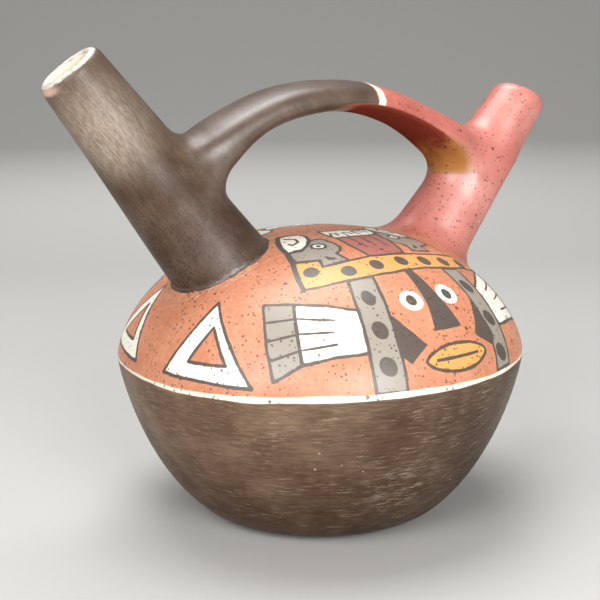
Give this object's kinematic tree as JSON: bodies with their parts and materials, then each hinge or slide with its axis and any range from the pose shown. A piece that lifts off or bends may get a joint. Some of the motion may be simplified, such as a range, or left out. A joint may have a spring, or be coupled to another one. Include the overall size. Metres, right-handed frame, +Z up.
{
  "type": "double spout bridge vessel",
  "caption": "Hollow slip-painted clay pot with a round body, a belted shoulder, and leaning open spouts joined by an arched strap handle.",
  "frame": {"origin": "centre of the flat underside, on the body's axis", "axes": "+Z up along the body's axis; the strap and both spouts lie in the XZ plane, the long dark spout towards -X and the short red one towards +X; the painted front faces -Y"},
  "size_m": [0.2178, 0.1596, 0.1809],
  "materials": {
    "vessel": "burnished painted slip, semi-matte"
  },
  "bodies": {
    "root": {"vessel": "vessel"}
  },
  "joints": []
}
